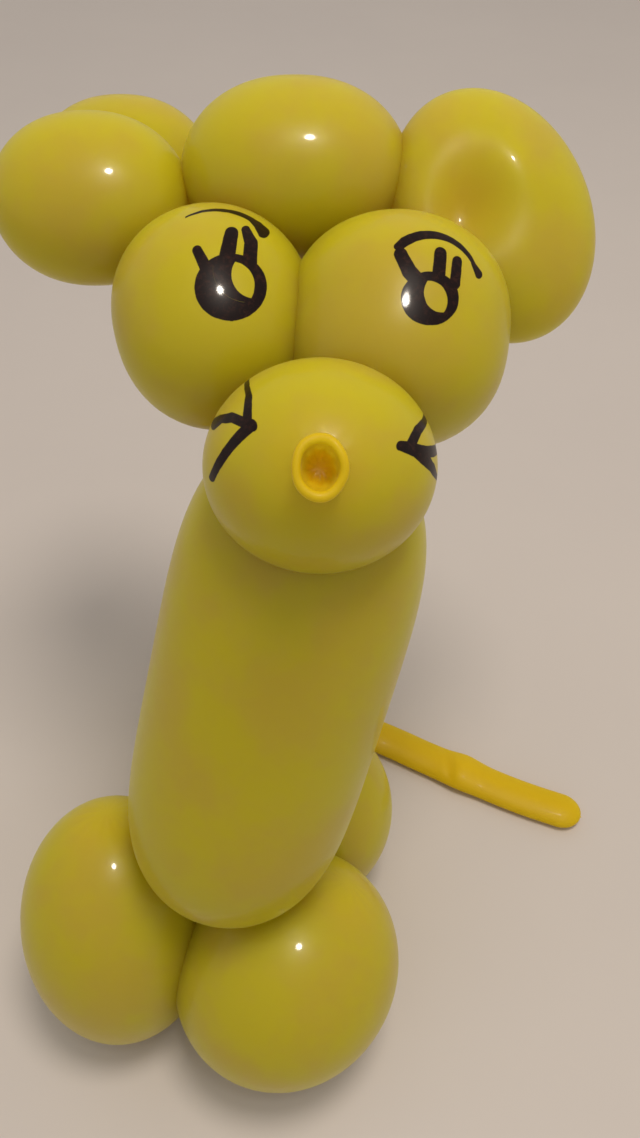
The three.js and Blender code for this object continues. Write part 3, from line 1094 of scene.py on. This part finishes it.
RIGHT_MOUTH_END = FacePatch(
    inked=(
        Stroke(((18.8, 14.8, 1.4), (16.5, 13.5, 1.9), (14.9, 11.3, 2.0))),
        Stroke(((13.1, 11.6, 1.6), (14.9, 11.0, 2.1), (16.8, 10.0, 2.2), (21.0, 8.9, 1.7))),
        Stroke(((15.2, 10.9, 1.6), (17.8, 8.6, 2.0), (19.4, 6.6, 1.4), (21.1, 3.4, 0.5))),
    ),
    bare=(),
    nearest=16.0,
)


@dataclass(frozen=True)
class FaceDrawing:
    """The marker's drawing: flat patches carried straight back on to the face.

    A place on the skin is given from the head twist, across and up in a plane that leans back by the
    angle given, and forward of it.
    """

    leans_back: float = 34.0
    patches: tuple[FacePatch, ...] = (LEFT_EYE, RIGHT_EYE, LEFT_MOUTH_END, RIGHT_MOUTH_END)
    edge: float = 0.07
    wander: float = 0.10

    def axes(self) -> tuple[Triple, Triple, Triple]:
        """Across, up and forward."""
        lean = math.radians(self.leans_back)
        return (1.0, 0.0, 0.0), (0.0, math.sin(lean), math.cos(lean)), (0.0, -math.cos(lean), math.sin(lean))

    def ink(self, sheet: NodeSheet, head_twist: Array, where: Socket) -> Socket:
        """How much ink lies on the skin.

        Args:
            sheet: the material's nodes.
            head_twist: where the head twist is, in millimetres.
            where: the place on the skin, in millimetres.

        Returns:
            Nought on bare skin and one on ink.
        """
        across, up, forward = self.axes()
        local = sheet.vector("SUBTRACT", where, tuple(head_twist))
        flat = sheet.add("ShaderNodeCombineXYZ")
        sheet.feed(flat.inputs["X"], sheet.vector("DOT_PRODUCT", local, across))
        sheet.feed(flat.inputs["Y"], sheet.vector("DOT_PRODUCT", local, up))
        shaky = sheet.noise(where, 0.55, 2.0).outputs["Color"]
        drift = sheet.vector("SUBTRACT", shaky, (0.5, 0.5, 0.5))
        drift = sheet.vector("SCALE", drift, scale=2.0 * self.wander)
        drift = sheet.vector("MULTIPLY", drift, (1.0, 1.0, 0.0))
        place = sheet.vector("ADD", flat.outputs[0], drift)
        depth = sheet.vector("DOT_PRODUCT", local, forward)
        normal = sheet.add("ShaderNodeNewGeometry").outputs["Normal"]
        faces = sheet.math("GREATER_THAN", sheet.vector("DOT_PRODUCT", normal, forward), 0.02)
        layers = []
        for patch in self.patches:
            covered = sheet.ramp(patch.distance(sheet, place), -self.edge, self.edge, 1.0, 0.0)
            near = sheet.math("GREATER_THAN", depth, patch.nearest)
            layers.append(sheet.math("MULTIPLY", covered, near))
        total = layers[0]
        for layer in layers[1:]:
            total = sheet.math("MAXIMUM", total, layer)
        return sheet.math("MULTIPLY", total, faces)


@dataclass(frozen=True)
class LatexFinish:
    """Yellow latex: glossy and lit through where it is stretched, amber and dull where it is not.

    Colours are as a screen shows them. Each value that starts with slack_ holds where the latex isn't
    stretched, and ink_mirroring holds on the marker's ink.
    """

    stretched: Shade = (186, 174, 28)
    blotched: Shade = (184, 165, 48)
    unstretched: Shade = (222, 181, 16)
    marker: Shade = (22, 8, 8)
    marker_thin: Shade = (48, 24, 18)
    gloss: float = 0.38
    dull: float = 0.50
    coat: float = 0.22
    slack_coat: float = 0.015
    coat_roughness: float = 0.09
    sheen: float = 0.06
    mirroring: float = 0.16
    ink_mirroring: float = 0.08
    glow: float = 0.90
    slack_glow: float = 0.35
    glow_reach: float = 0.03
    glow_colours: Triple = (1.0, 0.9, 0.22)
    refraction: float = 1.52
    sheen_roughness: float = 0.25
    sheen_tint: Shade = (255, 246, 190)
    grain: float = 0.10
    wrinkle_height: float = 0.9
    bump_strength: float = 0.06
    bump_height: float = 0.0006

    def material(self, drawing: FaceDrawing, head_twist: Array) -> bpy.types.Material:
        """The finish as a material.

        Args:
            drawing: what the marker drew.
            head_twist: where the head twist is, in millimetres.

        Returns:
            The material.
        """
        made, sheet, shader = new_material("yellow latex")
        place = sheet.add("ShaderNodeTexCoord").outputs["Object"]
        where = sheet.vector("SCALE", place, scale=1.0 / MM)
        slack = sheet.add("ShaderNodeAttribute")
        slack.attribute_name = "slack"
        wrung = slack.outputs["Fac"]
        ink = drawing.ink(sheet, head_twist, where)
        bare = sheet.math("SUBTRACT", 1.0, ink)
        grain = sheet.math("SUBTRACT", sheet.noise(where, 0.9, 3.0, 0.6).outputs[0], 0.5)
        rough = sheet.between(wrung, self.gloss, self.dull)
        glow = sheet.between(wrung, self.glow, self.slack_glow)
        varied = {
            "Base Color": self.colour(sheet, where, wrung, ink),
            "Roughness": sheet.math("MULTIPLY_ADD", grain, self.grain, rough),
            "Subsurface Weight": sheet.math("MULTIPLY", bare, glow),
            "Specular IOR Level": sheet.between(ink, self.mirroring, self.ink_mirroring),
            "Sheen Weight": sheet.math("MULTIPLY", bare, self.sheen),
            "Coat Weight": sheet.between(wrung, self.coat, self.slack_coat),
            "Normal": self.bump(sheet, where, wrung),
        }
        for name, value in varied.items():
            sheet.feed(shader.inputs[name], value)
        shader.inputs["Subsurface Radius"].default_value = self.glow_colours
        shader.inputs["Subsurface Scale"].default_value = self.glow_reach
        shader.inputs["IOR"].default_value = self.refraction
        shader.inputs["Sheen Roughness"].default_value = self.sheen_roughness
        shader.inputs["Sheen Tint"].default_value = linear(*self.sheen_tint)
        shader.inputs["Coat Roughness"].default_value = self.coat_roughness
        return made

    def colour(self, sheet: NodeSheet, where: Socket, wrung: Socket, ink: Socket) -> Socket:
        """The latex's colour, blotched and more amber where it is slack, under the marker's streaks."""
        cloudy = sheet.noise(where, 0.045, 3.0, 0.6).outputs[0]
        blotch = sheet.ramp(cloudy, 0.38, 0.66)
        skin = sheet.mix(blotch, linear(*self.stretched), linear(*self.blotched))
        skin = sheet.mix(wrung, skin, linear(*self.unstretched))
        streaks = sheet.ramp(sheet.noise(where, 0.8, 3.0, 0.7).outputs[0], 0.45, 0.75)
        marker = sheet.mix(streaks, linear(*self.marker), linear(*self.marker_thin))
        return sheet.mix(ink, skin, marker)

    def bump(self, sheet: NodeSheet, where: Socket, wrung: Socket) -> Socket:
        """Fine unevenness of dipped latex all over, and small wrinkles where it isn't stretched."""
        fine = sheet.noise(where, 0.22, 1.0, 0.5).outputs[0]
        wrinkled = sheet.math("MULTIPLY", sheet.noise(where, 1.4, 3.0, 0.6).outputs[0], wrung)
        node = sheet.add("ShaderNodeBump")
        node.inputs["Strength"].default_value = self.bump_strength
        node.inputs["Distance"].default_value = self.bump_height
        height = sheet.math("MULTIPLY_ADD", wrinkled, self.wrinkle_height, fine)
        sheet.feed(node.inputs["Height"], height)
        return node.outputs[0]


class LampUse(Enum):
    """What a lamp is for: to shade and cast shadows, or to be mirrored as highlights."""

    SHADING = "shading lamp"
    SHINING = "shining lamp"


@dataclass(frozen=True)
class Lamp:
    """A warm lamp: what it is for, its place in millimetres, its width in metres and its power."""

    use: LampUse
    place: Triple
    width: float
    power: float


@dataclass
class Studio:
    """A plain pale floor, warm lamps overhead, soft light from all round and the camera.

    Places are measured from the place on the floor under the shoulder twist.
    """

    under_shoulder: Array
    floor_reach: float = 12000.0
    floor_shades: tuple[Shade, Shade] = ((205, 198, 194), (212, 205, 200))
    floor_roughness: float = 0.55
    shading_lamp: Lamp = Lamp(LampUse.SHADING, (150.0, 40.0, 950.0), 0.27, 3.7)
    shining_lamp: Lamp = Lamp(LampUse.SHINING, (129.0, -173.0, 950.0), 0.085, 5.0)
    lamp_aim: Triple = (29.0, 47.0, 80.0)
    lamp_colour: Triple = (1.0, 0.90, 0.78)
    around_colour: Triple = (1.0, 0.93, 0.86)
    around_power: float = 0.49
    camera_place: Triple = (26.99, -97.97, 301.0)
    camera_down: float = 50.0
    focal_pixels: float = 985.0
    long_side_pixels: float = 1138.0
    sensor: float = 36.0

    def floor(self) -> bpy.types.Object:
        """The floor: a flat sheet with a faint grain."""
        reach = self.floor_reach
        corners = [(-reach, -reach, 0.0), (reach, -reach, 0.0), (reach, reach, 0.0), (-reach, reach, 0.0)]
        made = Skin(np.array(corners), [(0, 1, 2, 3)]).to_object("floor")
        material, sheet, shader = new_material("pale table")
        place = sheet.add("ShaderNodeTexCoord").outputs["Object"]
        grain = sheet.noise(place, 9.0, 4.0, 0.6).outputs[0]
        shades = [linear(*shade) for shade in self.floor_shades]
        sheet.feed(shader.inputs["Base Color"], sheet.mix(grain, *shades))
        shader.inputs["Roughness"].default_value = self.floor_roughness
        made.data.materials.append(material)
        return made

    def hang(self, lamp: Lamp) -> None:
        """Hangs a lamp, a disc that faces the giraffe."""
        data = bpy.data.lights.new(lamp.use.value, "AREA")
        data.shape = "DISK"
        data.size = lamp.width
        data.energy = lamp.power
        data.color = self.lamp_colour
        made = new_object(lamp.use.value, data)
        made.visible_glossy = lamp.use is LampUse.SHINING
        made.visible_diffuse = lamp.use is LampUse.SHADING
        made.location = (self.under_shoulder + lamp.place) * MM
        aim = np.array(lamp.place) - np.array(self.lamp_aim)
        flat = math.hypot(aim[0], aim[1])
        made.rotation_euler = (math.atan2(flat, aim[2]), 0.0, math.atan2(aim[0], -aim[1]))

    def surroundings(self) -> None:
        """Soft light from all round, a little warm."""
        world = bpy.data.worlds.new("room light")
        world.use_nodes = True
        background = next(node for node in world.node_tree.nodes if node.type == "BACKGROUND")
        background.inputs["Color"].default_value = (*self.around_colour, 1.0)
        background.inputs["Strength"].default_value = self.around_power
        bpy.context.scene.world = world

    def camera(self) -> None:
        """The camera, level across and looking down along +Y."""
        data = bpy.data.cameras.new("camera")
        data.sensor_width = self.sensor
        data.lens = self.focal_pixels / self.long_side_pixels * self.sensor
        data.clip_start = 0.01
        made = new_object("camera", data)
        made.location = (self.under_shoulder + self.camera_place) * MM
        made.rotation_euler = (math.radians(90.0 - self.camera_down), 0.0, 0.0)
        bpy.context.scene.camera = made

    def build(self) -> bpy.types.Object:
        """Sets up the light and the camera, and gives the floor."""
        self.hang(self.shading_lamp)
        self.hang(self.shining_lamp)
        self.surroundings()
        self.camera()
        bpy.context.scene.view_settings.view_transform = "Standard"
        return self.floor()


def main() -> None:
    """Builds the giraffe round the frame and puts it on the floor."""
    logging.basicConfig(level=logging.INFO, format="%(name)s: %(message)s")
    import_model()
    giraffe = Balloon()
    balloon, under_shoulder = giraffe.build()
    head_twist = giraffe.twists()[1] + under_shoulder
    balloon.data.materials.clear()
    balloon.data.materials.append(LatexFinish().material(FaceDrawing(), head_twist))
    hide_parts(NODE)
    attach(balloon, "root")
    logger.info("%s has %d faces", balloon.name, len(balloon.data.polygons))
    floor = Studio(under_shoulder).build()


if __name__ == "__main__":
    main()
